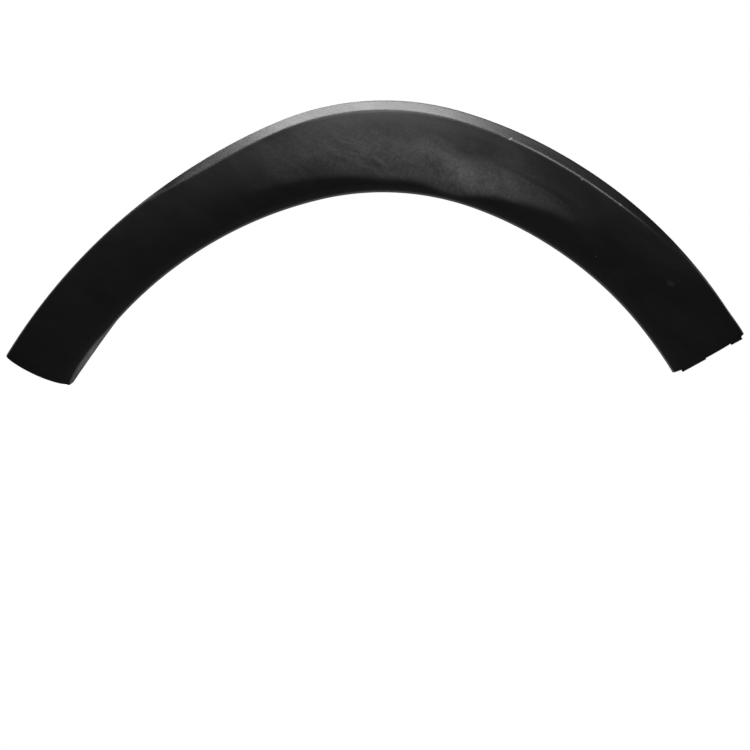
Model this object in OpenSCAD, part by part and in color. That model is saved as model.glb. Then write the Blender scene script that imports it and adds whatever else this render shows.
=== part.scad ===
// Wheel arch trim: a ribbed moulding that push-in clips and foam tape hold on a body panel.
// Inside the modules x runs along the car, y up and z towards the show side. z = 0 is the
// body panel at the crown clip. The finished pieces are stood upright about that clip.
// A place on the band is [t, v]: t runs from -1 at the left end over 0 at the crown to 1 at
// the right end, and v runs from 0 at the outer edge to 1 at the inner edge.

/* [Outer edge] */
// Radius over the crown
outer_crown_r = 336; // [320:1:350]
// Crown arc left of the top, in degrees
outer_crown_left = 22.3; // [21:0.1:24]
// Crown arc right of the top, in degrees
outer_crown_right = 16; // [15:0.1:18]
// Radius of the left leg
outer_left_r = 704; // [690:1:720]
// Arc of the left leg, in degrees
outer_left_arc = 36.3; // [35:0.1:37.5]
// Radius of the right leg
outer_right_r = 581; // [570:1:595]
// Arc of the right leg, in degrees
outer_right_arc = 44.3; // [43:0.1:45.5]

/* [Inner edge] */
// Radius over the crown
inner_crown_r = 331; // [320:1:345]
// Crown arc left of the top, in degrees
inner_crown_left = 13.2; // [12:0.1:15]
// Crown arc right of the top, in degrees
inner_crown_right = 20.1; // [19:0.1:22]
// Radius of the left leg
inner_left_r = 479; // [470:1:490]
// Arc of the left leg, in degrees
inner_left_arc = 46.4; // [45:0.1:47.5]
// Radius of the right leg
inner_right_r = 462; // [450:1:475]
// Arc of the right leg, in degrees
inner_right_arc = 39.5; // [38:0.1:41]
// Top of the inner edge, left of the top of the outer edge
inner_top_shift = 2; // [0:0.5:5]
// Width of the band over the crown
crown_band = 110; // [105:1:118]

/* [Shell section] */
// Thickness of every wall of the shell
wall = 2.6; // [2:0.1:3]
// Gap between the rim and the body panel
lip_gap = 0.6; // [0.4:0.1:1]
// Height of the upright rim over the body panel
rim_h = 3; // [2.5:0.1:4]
// Width of the chamfer over the crown
chamfer_w = 12; // [8:0.5:14]
// Width that is left of the chamfer at both ends
chamfer_end_w = 1.6; // [1:0.1:3]
// Depth of the crease between chamfer and face, over the crown
crease_depth = 13; // [11:0.5:15]
// Depth of the crease at both ends
crease_end_depth = 10; // [9:0.5:12]
// Half length of the rounding over the crease
crease_round = 3.5; // [2:0.5:4]
// Depth of the highest line of the face
face_depth = 24; // [21:0.5:27]
// Where the face is highest, as a share of the band
face_peak = 0.8; // [0.7:0.05:0.9]
// Radius of the rolled inner edge
edge_roll = 9; // [7:0.5:11]
// Draft of the inner flange over its height
flange_draft = 1.5; // [1:0.1:2.5]
// How far the inner flange flares out at the left end
hook_flare = 7; // [4:0.5:9]
// How far the body panel falls back at the ends
bow_depth = 14; // [0:1:20]

/* [Chamfer run] */
// Where the chamfer starts to fade, left leg
fade_left_start = 0.38; // [0.3:0.01:0.4]
// Where the chamfer has faded, left leg
fade_left_end = 0.6; // [0.55:0.01:0.7]
// Where the chamfer starts to fade, right leg
fade_right_start = 0.52; // [0.45:0.01:0.6]
// Where the chamfer has faded, right leg
fade_right_end = 0.94; // [0.85:0.01:0.98]

/* [Ends] */
// How far the left end bulges
left_bulge = 9; // [0:0.5:10]
// How far the right end bulges
right_bulge = 4.6; // [0:0.2:6]
// How far the lap tongue reaches past the corners of the right end
lap_reach = 6; // [5:0.2:8]
// Step between the show face and the lap tongue
lap_step = 0.4; // [0.2:0.1:1]
// Thickness of the lap tongue
lap_t = 2; // [1.5:0.1:2.5]
// How far the hook tab runs on past the left end
hook_reach = 5; // [3:0.5:8]
// Thickness of the hook tab
hook_t = 1.6; // [1.2:0.1:2]

/* [Ribs] */
// Thickness of the ribs
rib_t = 1.8; // [1.4:0.1:2.2]
// Depth of the rib tops under the body panel
rib_drop = 4.6; // [4.2:0.1:6]
// Depth of the tops of the low ribs
low_rib_drop = 11; // [8:0.5:13]
// Reach of the longest ribs that fan out from a tower
fan_reach = 11; // [8:0.5:12]
// Distance of the channel rib from the outer edge
channel_w = 13.5; // [12:0.5:15]
// Thickness of the channel rib
channel_rib_t = 1.6; // [1.2:0.1:2]
// Pitch of the bridges in the open stretch of the channel
open_pitch = 9; // [8:0.5:12]
// Pitch of the bridges under the tapes
bridge_pitch = 50; // [40:1:70]

/* [Clip towers] */
// Width of a tower along the band
tower_w = 22; // [20:0.5:24]
// Length of a tower across the band
tower_l = 20; // [18:0.5:22]
// Thickness of the tower walls
tower_wall = 1.8; // [1.4:0.1:2.2]
// Thickness of the tower roof
roof_t = 2.2; // [1.8:0.1:2.6]
// Depth of the roof top under the body panel
roof_drop = 4; // [3.5:0.1:5]
// Width of the mouth of the keyhole slot
slot_mouth = 9.4; // [8:0.1:11]

/* [Clips] */
// Diameter of the neck in the keyhole slot
neck_d = 6.4; // [5.6:0.1:7]
// Clearance round the neck and over the roof
clip_play = 0.15; // [0.1:0.05:0.3]
// Diameter of the foot under the roof
foot_d = 14; // [12:0.5:16]
// Thickness of the foot
foot_t = 1.6; // [1.2:0.1:2]
// Diameter of the collar on the roof
collar_d = 12; // [11:0.5:14]
// Diameter of the round root that locates in the panel hole
root_d = 9; // [8:0.1:10]
// Length of that root
root_l = 4.5; // [3.5:0.5:6]
// Length of the cross-shaped spear over the root
spear_l = 9; // [7:0.5:12]
// Thickness of the spear's blades
blade_t = 3.2; // [2.6:0.1:3.6]
// Width of the slot that lets the spear spring
spring_slot = 1.6; // [1.2:0.1:2]

/* [Tapes] */
// Thickness of the foam tapes
tape_t = 1.15; // [1:0.05:1.2]
// Width of the light tape
light_tape_w = 7; // [5:0.5:8]
// Distance of the light tape from the outer edge
light_tape_in = 3.4; // [3:0.1:4]
// Width of the dark tapes
dark_tape_w = 5.4; // [4:0.2:7]

/* [Hidden] */
black_plastic = [0.07, 0.07, 0.075];
natural_nylon = [0.74, 0.73, 0.68];
light_foam = [0.5, 0.5, 0.49];
dark_foam = [0.2, 0.2, 0.2];

// Towers as [t, v, twist in degrees, holds a clip, share of fan_reach, end of the side rib].
// The side rib's end is given in widths and lengths of a tower.
TOWERS = [[0.72, 0.31, -2, false, 1, [1.2, 1.2]],
          [0.51, 0.35, -3, true, 0.9, [1.1, 0.9]],
          [0.285, 0.35, -5, true, 1, [0.9, 0.7]],
          [0.2, 0.77, -8, true, 0.8, [0, 0]],
          [-0.039, 0.27, -1, true, 0, [0, 0]],
          [-0.175, 0.75, -3, true, 0, [0, 0]],
          [-0.35, 0.28, 14, true, 0, [0, 0]],
          [-0.47, 0.71, 8, true, 0, [0, 0]],
          [-0.65, 0.32, 6, false, 0, [0, 0]],
          [-0.866, 0.6, 0, true, 0, [0, 0]]];
crown_tower = 4;
CLIP_TOWERS = [for (i = [0:len(TOWERS) - 1]) if (TOWERS[i][3]) i];

// Ribs over the right leg, each a path of [t, v]
RIGHT_RIBS = [[[0.706, 0.46], [0.683, 1]],
              [[0.718, 0.46], [0.709, 1]],
              [[0.734, 0.46], [0.771, 0.89], [0.776, 1]],
              [[0.79, 0.9], [0.77, 0.888]],
              [[0.674, 0.5], [0.652, 0.92], [0.655, 1]],
              [[0.484, 0.4], [0.473, 0.9], [0.47, 1]],
              [[0.499, 0.46], [0.489, 0.8], [0.49, 1]],
              [[0.489, 0.82], [0.475, 0.82]],
              [[0.262, 0.4], [0.252, 1]],
              [[0.277, 0.5], [0.271, 1]],
              [[0.255, 0.81], [0.273, 0.81]],
              [[0.254, 0.88], [0.272, 0.88]],
              [[0.2545, 0.69], [0.222, 0.73]],
              [[0.252, 0.886], [0.222, 0.84]],
              [[0.17, 0.86], [0.166, 1]]];
// Ribs over the crown and the left leg
LEFT_RIBS = [[[0.014, 0.12], [-0.014, 0.2]],
             [[-0.0565, 0.35], [-0.0565, 0.56], [-0.15, 0.69]],
             [[-0.031, 0.74], [-0.031, 1]],
             [[-0.054, 0.74], [-0.054, 1]],
             [[-0.031, 0.79], [-0.054, 0.79]],
             [[-0.031, 0.88], [-0.054, 0.88]],
             [[-0.086, 1], [-0.145, 0.8]],
             [[-0.372, 0.22], [-0.407, 0.14]],
             [[-0.483, 0.62], [-0.493, 0.52]],
             [[-0.499, 0.66], [-0.512, 0.6]],
             [[-0.626, 0.38], [-0.613, 0.74], [-0.615, 1]],
             [[-0.611, 0.735], [-0.636, 0.78], [-0.629, 1]],
             [[-0.826, 0.8], [-0.826, 1]],
             [[-0.846, 0.82], [-0.846, 1]]];
// Ribs that stiffen the two ends
END_RIBS = [[[0.933, 0.13], [0.913, 1]],
            [[0.948, 0.48], [0.936, 1]],
            [[0.966, 0.13], [0.95, 1]],
            [[0.99, 0.13], [0.977, 1]],
            [[0.957, 0.6], [0.982, 0.6]],
            [[0.955, 0.72], [0.98, 0.72]],
            [[0.953, 0.84], [0.979, 0.84]],
            [[-0.932, 1], [-0.943, 0.4]],
            [[-0.949, 1], [-0.968, 0.17]],
            [[-0.917, 0.62], [-0.917, 0.43]]];
// Ribs with low tops
LOW_RIBS = [[[0.753, 0.44], [0.864, 1]],
            [[0.314, 0.52], [0.373, 1]],
            [[-0.0425, 0.5], [-0.0425, 0.74]]];

// Tapes in the rim channel as [t from, t to]
LIGHT_TAPE = [0.468, 0.985];
DARK_TAPES = [[0.018, 0.267], [-0.185, -0.065], [-0.312, -0.201], [-0.462, -0.416],
              [-0.621, -0.477], [-0.885, -0.665]];
OPEN_STRETCH = [0.305, 0.46];
BRIDGED = [-0.94, 0.96];

// Steps of the lap tongue as [v from, v to, share of its reach]
LAP_STEPS = [[0.03, 0.19, 0.95], [0.19, 0.55, 0.6], [0.55, 0.89, 1]];

stations = 48;
outside_facets = [5, 3];
inside_facets = [3, 2];
overrun = 1.05;
rib_foot = 40;
seat_gap = 0.05;
end_wall_drop = 1.5;
hook_root = -0.965;
spear_taper = 0.1;
spear_lead = 0.8;
slot_floor = 1;
collar_drop = 0.5;
far = 60;
eps = 0.01;

// Blend from 0 at lo to 1 at hi
function smooth(lo, hi, x) =
    let (s = min(1, max(0, (x - lo) / (hi - lo)))) s * s * (3 - 2 * s);

// Point on an edge made of a crown arc and a leg arc that runs on from it
function edge_point(top, crown_r, crown_arc, leg_r, leg_arc, side, f) =
    let (crown_len = crown_r * crown_arc,
         run = f * (crown_len + leg_r * leg_arc),
         turned = min(run / crown_r, crown_arc),
         leg_turned = turned + max(0, run - crown_len) / leg_r)
    [top[0] + side * (crown_r * sin(turned) + leg_r * (sin(leg_turned) - sin(turned))),
     top[1] - crown_r * (1 - cos(turned)) - leg_r * (cos(turned) - cos(leg_turned))];

function outer_at(t) = t < 0
    ? edge_point([0, 0], outer_crown_r, outer_crown_left, outer_left_r, outer_left_arc, -1, -t)
    : edge_point([0, 0], outer_crown_r, outer_crown_right, outer_right_r, outer_right_arc, 1, t);

function inner_at(t) = let (top = [-inner_top_shift, -crown_band]) t < 0
    ? edge_point(top, inner_crown_r, inner_crown_left, inner_left_r, inner_left_arc, -1, -t)
    : edge_point(top, inner_crown_r, inner_crown_right, inner_right_r, inner_right_arc, 1, t);

function band_at(t, v) = outer_at(t) + (inner_at(t) - outer_at(t)) * v;
function band_w(t) = norm(inner_at(t) - outer_at(t));
function across(t) = (inner_at(t) - outer_at(t)) / band_w(t);
function along(t) = [-across(t)[1], across(t)[0]];
function turn_at(t) = atan2(across(t)[0], -across(t)[1]);

origin = band_at(TOWERS[crown_tower][0], TOWERS[crown_tower][1]);
half_span = (outer_at(1)[0] - outer_at(-1)[0]) / 2;

// Height of the body panel over its height at the crown clip, zero or less
function lift(p) = -bow_depth * pow((p[0] - origin[0]) / half_span, 2);

function faded(t) = t < 0 ? smooth(fade_left_start, fade_left_end, -t)
                          : smooth(fade_right_start, fade_right_end, t);
function chamfer_at(t) = chamfer_w + (chamfer_end_w - chamfer_w) * faded(t);
function crease_at(t) = crease_depth + (crease_end_depth - crease_depth) * faded(t);
function flare_at(t) = hook_flare * smooth(0.83, 0.97, -t);

// Depth of the face over distance a from the outer edge
function face_at(t, a) =
    let (peak = face_peak * band_w(t), crease = chamfer_at(t))
    face_depth - (face_depth - crease_at(t)) * pow((peak - a) / (peak - crease), 2);

// Show side of the section at t, from the rim over chamfer and face to the inner flange,
// as [distance from the outer edge, depth]. facets holds the steps on the face and the roll.
function show_line(t, facets) =
    let (w = band_w(t),
         rim = [0, rim_h],
         crease = [chamfer_at(t), crease_at(t)],
         chamfer_len = norm(crease - rim),
         r = min(crease_round, 0.5 * chamfer_len),
         from = crease + (rim - crease) * r / chamfer_len,
         to = [crease[0] + r, face_at(t, crease[0] + r)],
         roll_start = w - flare_at(t) - flange_draft - edge_roll,
         roll_top = face_at(t, roll_start))
    concat([[0, lip_gap], rim, from, (from + 2 * crease + to) / 4],
           [for (i = [0:facets[0] - 1])
               let (a = to[0] + (roll_start - to[0]) * i / facets[0]) [a, face_at(t, a)]],
           [for (i = [0:facets[1]])
               let (q = 90 * i / facets[1])
               [roll_start + edge_roll * sin(q), roll_top - edge_roll * (1 - cos(q))]],
           [[w, lip_gap]]);

function normal(p, q) = let (d = (q - p) / norm(q - p)) [d[1], -d[0]];

// The same line, moved inward by d and still ending on the rim plane
function inset_line(t, d, facets) =
    let (p = show_line(t, facets), last = len(p) - 1)
    [for (i = [0:last])
        let (n1 = normal(p[max(i, 1) - 1], p[max(i, 1)]),
             n2 = normal(p[min(i, last - 1)], p[min(i, last - 1) + 1]),
             q = p[i] + (n1 + n2) / (1 + n1 * n2) * d)
        i == 0 || i == last ? [q[0], lip_gap] : q];

function reversed(p) = [for (i = [len(p) - 1:-1:0]) p[i]];

// Place of [distance from the outer edge, depth] at t, on the bowed panel
function in_space(t, s) =
    let (p = outer_at(t) + across(t) * s[0]) [p[0], p[1], s[1] + lift(p)];

function ring(t, line) = [for (s = line) in_space(t, s)];
function steps(from, to, count) = [for (i = [0:count]) from + (to - from) * i / count];

// Solid through closed rings of equally many points
module loft(rings) {
    n = len(rings[0]);
    m = len(rings);
    polyhedron(points = [for (r = rings) each r],
               faces = concat([[for (k = [0:n - 1]) k]],
                              [[for (k = [n - 1:-1:0]) (m - 1) * n + k]],
                              [for (i = [0:m - 2], k = [0:n - 1])
                                  [i * n + k, (i + 1) * n + k, (i + 1) * n + (k + 1) % n]],
                              [for (i = [0:m - 2], k = [0:n - 1])
                                  [i * n + k, (i + 1) * n + (k + 1) % n, i * n + (k + 1) % n]]));
}

// Strip along the band with a rectangular section, from depth top down to depth foot
module band_strip(t_from, t_to, a_from, a_to, top, foot) {
    count = max(2, ceil(stations / 2 * abs(t_to - t_from)));
    loft([for (t = steps(t_from, t_to, count))
        ring(t, [[a_from, top], [a_from, foot], [a_to, foot], [a_to, top]])]);
}

module shell() {
    loft([for (t = steps(-overrun, overrun, stations))
        ring(t, concat(show_line(t, outside_facets),
                       reversed(inset_line(t, wall, inside_facets))))]);
}

// Space between the middle of the wall and a ceiling at the given depth under the panel
module core(ceiling) {
    loft([for (t = steps(-overrun, overrun, stations))
        let (line = inset_line(t, wall / 2, inside_facets), last = len(line) - 1)
        ring(t, concat([for (i = [0:last])
                            i == 0 || i == last ? [line[i][0], ceiling] : line[i]],
                       [[band_w(t) / 2, ceiling], [channel_w + 2 * wall, ceiling]]))]);
}

// Walls that stand on the shell over a plan and end at the given depth under the panel
module walls_over(ceiling) {
    intersection() {
        core(ceiling);
        translate([0, 0, -far]) linear_extrude(2 * far) children();
    }
}

// Plan of one straight rib
module bar(p, q, t) {
    turn = atan2(q[1] - p[1], q[0] - p[0]);
    hull() for (end = [p, q]) translate(end) rotate(turn) circle(d = t, $fn = 4);
}

// Plan of ribs, each along a path of places on the band
module rib_plan(paths) {
    for (path = paths, i = [0:len(path) - 2])
        bar(band_at(path[i][0], path[i][1]), band_at(path[i + 1][0], path[i + 1][1]), rib_t);
}

module at_tower(i) {
    spot = TOWERS[i];
    p = band_at(spot[0], spot[1]);
    translate([p[0], p[1], lift(p)]) rotate([0, 0, turn_at(spot[0]) + spot[2]]) children();
}

// Keyhole slot with its round end on the clip's axis and its mouth on the open side
module keyhole() {
    hull() {
        circle(d = neck_d + 2 * clip_play, $fn = 20);
        translate([-slot_mouth / 2, -tower_l]) square([slot_mouth, eps]);
    }
}

// Tower with three walls, open towards the inner edge, and a slotted roof
module tower() {
    half_w = tower_w / 2;
    half_l = tower_l / 2;
    inner_w = half_w - tower_wall;
    translate([0, 0, roof_drop]) {
        linear_extrude(roof_t) difference() {
            translate([-half_w, -half_l]) square([tower_w, tower_l]);
            keyhole();
        }
        linear_extrude(rib_foot) difference() {
            translate([-half_w, -half_l]) square([tower_w, tower_l]);
            translate([-inner_w, -tower_l]) square([2 * inner_w, tower_l + half_l - tower_wall]);
        }
    }
}

// Plan of the ribs that fan out from a tower towards the rim
module fan_plan(i) {
    spot = TOWERS[i];
    half_w = tower_w / 2;
    half_l = tower_l / 2;
    translate(band_at(spot[0], spot[1])) rotate(turn_at(spot[0]) + spot[2]) {
        if (spot[4] > 0)
            for (x = [-0.9, -0.15, 0.9])
                bar([x * half_w, half_l - tower_wall / 2],
                    [x * half_w * 1.25, half_l + fan_reach * spot[4]], rib_t);
        if (spot[5][0] > 0)
            bar([half_w - tower_wall / 2, half_l / 2],
                [tower_w * spot[5][0], tower_l * spot[5][1]], rib_t);
    }
}

// Plan of a strip along the band
module strip_plan(t_from, t_to, a_from, a_to) {
    run = steps(t_from, t_to, stations);
    polygon(concat([for (t = run) outer_at(t) + across(t) * a_from],
                   reversed([for (t = run) outer_at(t) + across(t) * a_to])));
}

// Plan of the small ribs that bridge the rim channel and carry the tapes
module bridge_plan() {
    leg_len = (outer_right_r * outer_right_arc + outer_crown_r * outer_crown_right) * PI / 180;
    open_len = (OPEN_STRETCH[1] - OPEN_STRETCH[0]) * leg_len;
    left_len = (OPEN_STRETCH[0] - BRIDGED[0]) * leg_len;
    right_len = (BRIDGED[1] - OPEN_STRETCH[1]) * leg_len;
    places = concat(steps(OPEN_STRETCH[0], OPEN_STRETCH[1], round(open_len / open_pitch)),
                    steps(BRIDGED[0], OPEN_STRETCH[0], round(left_len / bridge_pitch)),
                    steps(OPEN_STRETCH[1], BRIDGED[1], round(right_len / bridge_pitch)));
    for (t = places)
        bar(outer_at(t) + across(t) * wall / 2,
            outer_at(t) + across(t) * (channel_w - channel_rib_t / 2), rib_t);
}

// Outline of an end, from 0 at both corners to 1 at its fullest point. The left end is
// fullest past its middle, nearer to the inner edge.
function fullness(side, v) =
    v > 0 && v < 1 ? pow(sin(180 * pow(v, side < 0 ? 1.25 : 1)), 0.4) : 0;

// Plan of what lies beyond an end
module beyond(side) {
    bulge = side < 0 ? left_bulge : right_bulge;
    out = along(side) * side;
    edge = [for (v = steps(-0.3, 1.3, 32)) band_at(side, v) + out * bulge * fullness(side, v)];
    polygon(concat(edge, [edge[32] + out * far, edge[0] + out * far]));
}

// Tongue that laps behind the next trim at the right end, in three steps
module lap_tongue() {
    depth = wall + lap_step;
    first = LAP_STEPS[0][0];
    last = LAP_STEPS[len(LAP_STEPS) - 1][1];
    root = along(1) * wall / 2;
    tip = [for (s = LAP_STEPS, v = [s[0], s[1]]) band_at(1, v) + along(1) * lap_reach * s[2]];
    intersection() {
        loft([for (t = steps(0.945, 1.055, 3))
            let (w = band_w(t))
            ring(t, concat([for (v = steps(0.02, 0.89, 5)) [v * w, face_at(t, v * w) - depth]],
                           [for (v = steps(0.89, 0.02, 5))
                               [v * w, face_at(t, v * w) - depth - lap_t]]))]);
        translate([0, 0, -far]) linear_extrude(2 * far)
            polygon(concat([band_at(1, first) - root], tip, [band_at(1, last) - root]));
    }
}

// Section of the hook tab at t, in the middle of the flange's wall. cut is the share of the
// flange's height that its rounded tip leaves out.
function tab_section(t, cut) =
    let (line = inset_line(t, wall / 2, inside_facets),
         root = line[len(line) - 2],
         lip = line[len(line) - 1],
         foot = lip + (root - lip) * cut,
         side = normal(lip, root) * hook_t / 2)
    [root - side, foot - side, foot + side, root + side];

// Tab with which the flared inner flange runs on past the left end, to a rounded tip
module hook_tab() {
    reach = hook_reach / (inner_left_r * inner_left_arc * PI / 180);
    first_cut = 0.04;
    last_cut = 0.8;
    round = [for (q = [0:18:72]) [-1 - reach * sin(q), first_cut + (last_cut - first_cut) * (1 - cos(q))]];
    loft([for (s = concat([[hook_root, first_cut]], round)) ring(s[0], tab_section(s[0], s[1]))]);
}

module trim_moulding() {
    color(black_plastic) stand_up() {
        difference() {
            union() {
                shell();
                walls_over(tape_t + seat_gap) {
                    strip_plan(-0.99, 0.995, channel_w - channel_rib_t / 2,
                               channel_w + channel_rib_t / 2);
                    bridge_plan();
                }
                walls_over(rib_drop) {
                    rib_plan(concat(RIGHT_RIBS, LEFT_RIBS, END_RIBS));
                    for (i = [0:len(TOWERS) - 1]) fan_plan(i);
                }
                walls_over(low_rib_drop) rib_plan(LOW_RIBS);
                intersection() {
                    core(lip_gap);
                    for (i = [0:len(TOWERS) - 1]) at_tower(i) tower();
                }
                walls_over(end_wall_drop) for (side = [-1, 1])
                    offset(delta = wall) beyond(side);
            }
            translate([0, 0, -far]) linear_extrude(2 * far) for (side = [-1, 1]) beyond(side);
        }
        lap_tongue();
        hook_tab();
    }
}

// Push-in clip: foot and neck in the keyhole slot, collar on the roof, round root and
// cross-shaped spear through the panel
module clip() {
    neck_top = roof_drop - clip_play;
    collar_t = neck_top - collar_drop;
    root_top = neck_top - collar_t;
    foot_top = roof_drop + roof_t + clip_play;
    translate([0, 0, foot_top]) cylinder(d = foot_d, h = foot_t);
    translate([0, 0, root_top]) cylinder(d = neck_d, h = foot_top - root_top + eps);
    translate([0, 0, root_top]) cylinder(d1 = root_d, d2 = collar_d, h = collar_t);
    translate([0, 0, root_top - root_l]) cylinder(d = root_d, h = root_l);
    translate([0, 0, root_top - root_l]) mirror([0, 0, 1]) spear();
}

module spear() {
    difference() {
        intersection() {
            rotate_extrude() polygon([[0, 0], [root_d / 2 - spear_lead, 0],
                                      [root_d / 2 - spear_taper, spear_l * 0.3],
                                      [root_d / 2 - spear_taper, spear_l * 0.45],
                                      [root_d / 4, spear_l], [0, spear_l]]);
            union() {
                translate([-root_d, -blade_t / 2, 0]) cube([2 * root_d, blade_t, spear_l]);
                translate([-blade_t / 2, -root_d, 0]) cube([blade_t, 2 * root_d, spear_l]);
            }
        }
        translate([-spring_slot / 2, -root_d / 4, slot_floor])
            cube([spring_slot, root_d, spear_l]);
    }
}

module placed_clip(n) {
    color(natural_nylon) stand_up() at_tower(CLIP_TOWERS[n - 1]) clip();
}

module tape(run, a_from, width) {
    stand_up() band_strip(run[0], run[1], a_from, a_from + width, 0, tape_t);
}

module light_tape() {
    color(light_foam) tape(LIGHT_TAPE, light_tape_in, light_tape_w);
}

module dark_tape(n) {
    color(dark_foam) tape(DARK_TAPES[n - 1], channel_w + channel_rib_t / 2 - dark_tape_w,
                          dark_tape_w);
}

// From the drawing axes to the upright frame with its origin at the crown clip
module stand_up() {
    rotate([90, 0, 0]) translate([-origin[0], -origin[1], 0]) children();
}

trim_moulding();
placed_clip(1);  // clip_1
placed_clip(2);  // clip_2
placed_clip(3);  // clip_3
placed_clip(4);  // clip_4
placed_clip(5);  // clip_5
placed_clip(6);  // clip_6
placed_clip(7);  // clip_7
placed_clip(8);  // clip_8
light_tape();
dark_tape(1);  // dark_tape_1
dark_tape(2);  // dark_tape_2
dark_tape(3);  // dark_tape_3
dark_tape(4);  // dark_tape_4
dark_tape(5);  // dark_tape_5
dark_tape(6);  // dark_tape_6
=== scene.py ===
"""Looks of the wheel arch trim: the moulding as a fine smooth shell with its ribs, towers, tongue
and tab, the foam tapes, and the materials, lights and camera of the product photograph.

The sizes are those of the CAD source, in millimetres. A place on the band is (t, v): t runs from
-1 at the left end over 0 at the crown to 1 at the right end, v from 0 at the outer edge to 1 at
the inner edge. Depth counts towards the show side, from the body panel at the crown clip.
"""

from math import acos, atan2, ceil, cos, exp, hypot, pi, radians, sin, sqrt

import bmesh
import bpy
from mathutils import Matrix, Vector, noise

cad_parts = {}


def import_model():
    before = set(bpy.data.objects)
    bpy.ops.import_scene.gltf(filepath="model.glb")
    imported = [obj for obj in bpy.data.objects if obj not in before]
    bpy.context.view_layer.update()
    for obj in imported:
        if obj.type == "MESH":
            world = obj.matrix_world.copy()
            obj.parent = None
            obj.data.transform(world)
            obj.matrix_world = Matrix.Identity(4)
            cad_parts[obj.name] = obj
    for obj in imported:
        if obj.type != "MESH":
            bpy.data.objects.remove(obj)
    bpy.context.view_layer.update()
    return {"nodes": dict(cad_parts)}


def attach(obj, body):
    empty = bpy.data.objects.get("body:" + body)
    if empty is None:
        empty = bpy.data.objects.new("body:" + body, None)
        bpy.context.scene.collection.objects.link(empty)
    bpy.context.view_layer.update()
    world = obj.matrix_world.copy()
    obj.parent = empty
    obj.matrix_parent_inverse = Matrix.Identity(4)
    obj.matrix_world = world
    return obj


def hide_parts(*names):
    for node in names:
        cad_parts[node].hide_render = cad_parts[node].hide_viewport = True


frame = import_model()

MM = 0.001
TINY = 1e-9

# Edges: radius of the crown arc, on each side the angle of that arc with the radius and angle of
# the leg arc, and the point at the crown
OUTER = {"crown_r": 336, "left": (22.3, 704, 36.3), "right": (16, 581, 44.3), "top": (0, 0)}
INNER = {"crown_r": 331, "left": (13.2, 479, 46.4), "right": (20.1, 462, 39.5), "top": (-2, -110)}

# Shell section
WALL = 2.6
LIP_GAP = 0.6
FOOT_IN, FOOT_UP = 0.25, 0.3
RIM_H, RIM_ROUND, RIM_ROUND_SHARE = 3, 0.7, 0.3
CHAMFER_W, CHAMFER_END_W = 12, 1.6
CREASE_DEPTH, CREASE_END_DEPTH = 13, 10
CREASE_ROUND, CREASE_ROUND_SHARE = 2.6, 0.5
FACE_DEPTH, FACE_PEAK = 24, 0.8
EDGE_ROLL = 9
FLANGE_DRAFT = 1.5
HOOK_FLARE, FLARE_SPAN = 2.6, 0.09
LIP_MIDDLE, LIP_SPAN, LIP_OUT = -0.93, 0.13, 2.4
BOW_DEPTH = 14
# Where the chamfer and the crease die out on each leg, in t
FADE = {-1: (0.38, 0.6), 1: (0.52, 0.94)}

# Swell of the band past the edges, and the stretches of t over which it comes and goes
SWELL_OUT, SWELL_IN, SWELL_TIP = 1.25, 1.1, 1.8
OUT_FADE, IN_FADE, IN_LOSS, IN_END, TIP_SPAN = (0.2, 0.5), (0.45, 0.8), 0.5, (0.9, 1), (0.93, 1)

# Steps along the stretches of the section, and of its face and roll for the shell, for the end
# walls and for what only follows the wall
CORNER_STEPS = (0, 0.33, 0.67, 1)
CHAMFER_STEPS = (0.2, 0.4, 0.6, 0.8)
CREASE_STEPS = (0, 0.15, 0.3, 0.45, 0.6, 0.75, 0.9)
FLANGE_STEPS = (0.3, 0.6, 0.9)
FLANGE_POINTS = len(FLANGE_STEPS) + 2
FINE, MIDDLING, COARSE = (26, 9), (12, 5), (8, 4)
MITRE, LEAST_RISE = 0.6, 0.02

# Sections along the shell
SHELL_SPAN, SHELL_STEPS, END_STATION = 0.995, 260, 0.9988

# Ends
BULGE = {-1: 9, 1: 4.6}
BULGE_POWER, LEFT_LEAN, BULGE_FROM = 0.4, 1.25, 0.9
END_ROUND = 0.35
END_WALL_DROP, END_WALL_SET = 1.5, 0.06
# Lap tongue: reach past the end, gap under the wall, thickness, softened edge, points of a step
LAP_REACH, LAP_GAP, LAP_T, LAP_EDGE, LAP_POINTS = 6, 0.4, 2, 0.3, 14
# Its steps as (v from, v to, share of its reach)
LAP_STEPS = [(0.03, 0.19, 0.95), (0.1906, 0.55, 0.6), (0.5506, 0.89, 1)]
# Hook tab: reach past the end, thickness, root in t, softened edge, and flat share of its foot
HOOK_REACH, HOOK_T, HOOK_ROOT, HOOK_EDGE, HOOK_FLAT = 5, 1.6, -0.965, 0.4, 0.5
# Share of the flange's height that it leaves out at the root, and more of it at the tip, which
# is rounded in turns of so many degrees
HOOK_CUT, HOOK_TIP_CUT, HOOK_TURNS = 0.04, 0.8, range(0, 79, 6)

# Ribs. A drop is a depth below the body panel.
RIB_T, RIB_DROP, LOW_RIB_DROP = 1.8, 4.6, 11
# Longest step along a rib, width left at its ends, least height, and distance from the outer
# edge beyond which the flange may be met
RIB_STEP, RIB_TAPER, RIB_LEAST, NEAR_FLANGE = 6, 0.8, 0.2, 40
RIB_BEVEL, SMALL_BEVEL, TOWER_BEVEL = 0.35, 0.2, 0.3
# Fan behind a tower: its reach, where its ribs start in half widths, and how they spread
FAN_REACH, FAN_SPOTS, FAN_SPREAD = 11, (-0.9, -0.15, 0.9), 1.25
CHANNEL_W, CHANNEL_RIB_T, CHANNEL_RUN, CHANNEL_STEPS = 13.5, 1.6, (-0.99, 0.995), 150
BRIDGE_FOOT = 0.8 * WALL

# Tapes: thickness, gap to the panel and to the ribs, rounded edge, and space left at each side
TAPE_T, TAPE_GAP, TAPE_EDGE, TAPE_SIDE = 1.15, 0.05, 0.35, 0.15
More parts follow.
